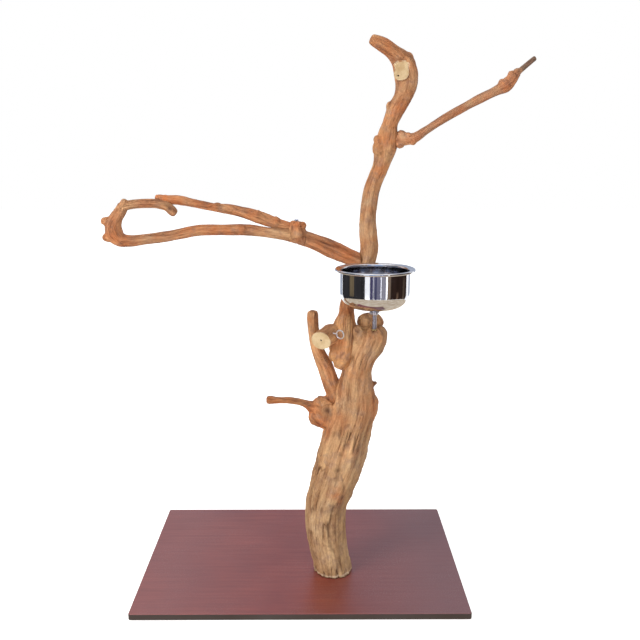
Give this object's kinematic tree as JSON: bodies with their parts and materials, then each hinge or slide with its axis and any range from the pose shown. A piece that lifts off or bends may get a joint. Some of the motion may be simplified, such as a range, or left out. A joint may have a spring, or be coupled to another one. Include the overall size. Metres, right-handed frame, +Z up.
{
  "type": "parrot play stand",
  "caption": "Tabletop parrot play stand: natural branch tree with a looped perch, a screw-on steel food cup and a toy eye, on a stained board.",
  "frame": {"origin": "centre of the board, on the plane that its feet rest on", "axes": "+Z up, +X to the right along the board's long side, +Y away from the viewer"},
  "size_m": [0.7729, 0.4, 0.995],
  "materials": {
    "natural_wood": "satin",
    "stained_wood": "satin",
    "stainless": "gloss",
    "zinc_steel": "satin",
    "brass": "satin",
    "rubber": "matte"
  },
  "bodies": {
    "stand": {"base_board": "stained_wood", "base_feet": "rubber", "trunk_lag_bolt": "zinc_steel", "lag_washer": "zinc_steel", "base_screws": "zinc_steel", "trunk": "natural_wood", "tall_limb": "natural_wood", "right_perch": "natural_wood", "left_perch": "natural_wood", "return_perch": "natural_wood", "limb_screws": "zinc_steel", "fork_screw": "zinc_steel", "branch_screw": "zinc_steel", "knob_screw": "zinc_steel", "loop_screw": "zinc_steel", "stud_insert": "brass", "screw_eye": "zinc_steel"},
    "stud": {"cup_stud": "zinc_steel"},
    "cup": {"cup_bowl": "stainless", "cup_boss": "stainless"},
    "nut": {"wing_nut": "zinc_steel"}
  },
  "joints": [
    {"name": "cup_rise", "type": "slide", "parent": "stand", "child": "stud", "axis": [0, 0, 1], "range_m": [0, 0.0125]},
    {"name": "cup_turn", "type": "hinge", "parent": "stud", "child": "cup", "pos_m": [0.131, -0.072, 0.531], "axis": [0, 0, 1], "range_deg": [0, 3600]},
    {"name": "wing_nut_turn", "type": "hinge", "parent": "stud", "child": "nut", "pos_m": [0.131, -0.072, 0.524], "axis": [0, 0, 1], "range_deg": [-360, 0]}
  ],
  "couplings": [
    {"joint": "cup_rise", "follows": "cup_turn", "m_per_rad": 0.00019894}
  ]
}
